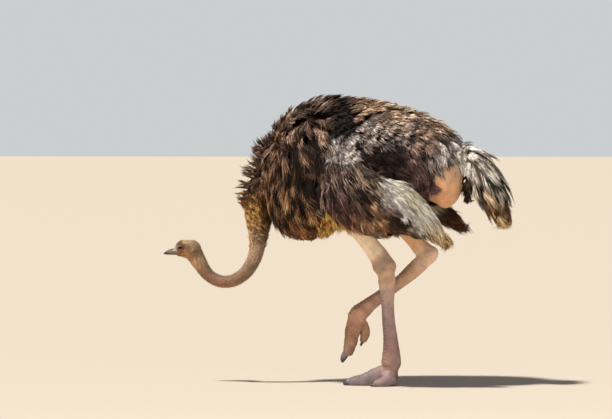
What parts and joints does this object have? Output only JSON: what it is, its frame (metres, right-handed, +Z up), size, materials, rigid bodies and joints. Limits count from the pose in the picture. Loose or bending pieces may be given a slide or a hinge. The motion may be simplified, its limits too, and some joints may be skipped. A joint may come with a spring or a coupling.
{
  "type": "ostrich, hen, walking with lowered head",
  "caption": "Life-size hen ostrich as a still model, in mid-step on its left leg with the right foot lifted, neck hung low and head level.",
  "frame": {"origin": "floor level, under the middle of the bird's overall box", "axes": "+Z up; the bird faces -X, its left side towards -Y; +X runs from bill to tail"},
  "size_m": [1.646, 0.6664, 1.3403],
  "materials": {
    "plumage_dark": "dark brown body plumage, loose barbs, pale edges",
    "plumage_grey": "grey-brown wing and tail plumage, soft and matt",
    "plume_pale": "long pale wing plumes, soft and matt",
    "bare_skin": "bare pinkish-tan skin, scaled on the legs",
    "head_skin": "grey-tan head skin with short down",
    "horn": "satin horn",
    "eye": "wet, glossy"
  },
  "bodies": {
    "root": {"neck_base": "plumage_dark", "tail_tuft": "plumage_dark", "trunk": "plumage_dark", "tail": "plumage_grey", "wing_left": "plumage_grey", "wing_right": "plumage_grey", "wing_plumes_left": "plume_pale", "wing_plumes_right": "plume_pale", "neck_bend": "bare_skin", "neck_fall": "bare_skin", "neck_rise": "bare_skin", "shank_left": "bare_skin", "shank_right": "bare_skin", "tarsus_left": "bare_skin", "tarsus_right": "bare_skin", "toe_inner_left": "bare_skin", "toe_inner_right": "bare_skin", "toe_outer_left": "bare_skin", "toe_outer_right": "bare_skin", "head": "head_skin", "bill_lower": "horn", "bill_upper": "horn", "claw_inner_left": "horn", "claw_inner_right": "horn", "claw_outer_left": "horn", "claw_outer_right": "horn", "eye_left": "eye", "eye_right": "eye"}
  },
  "joints": []
}
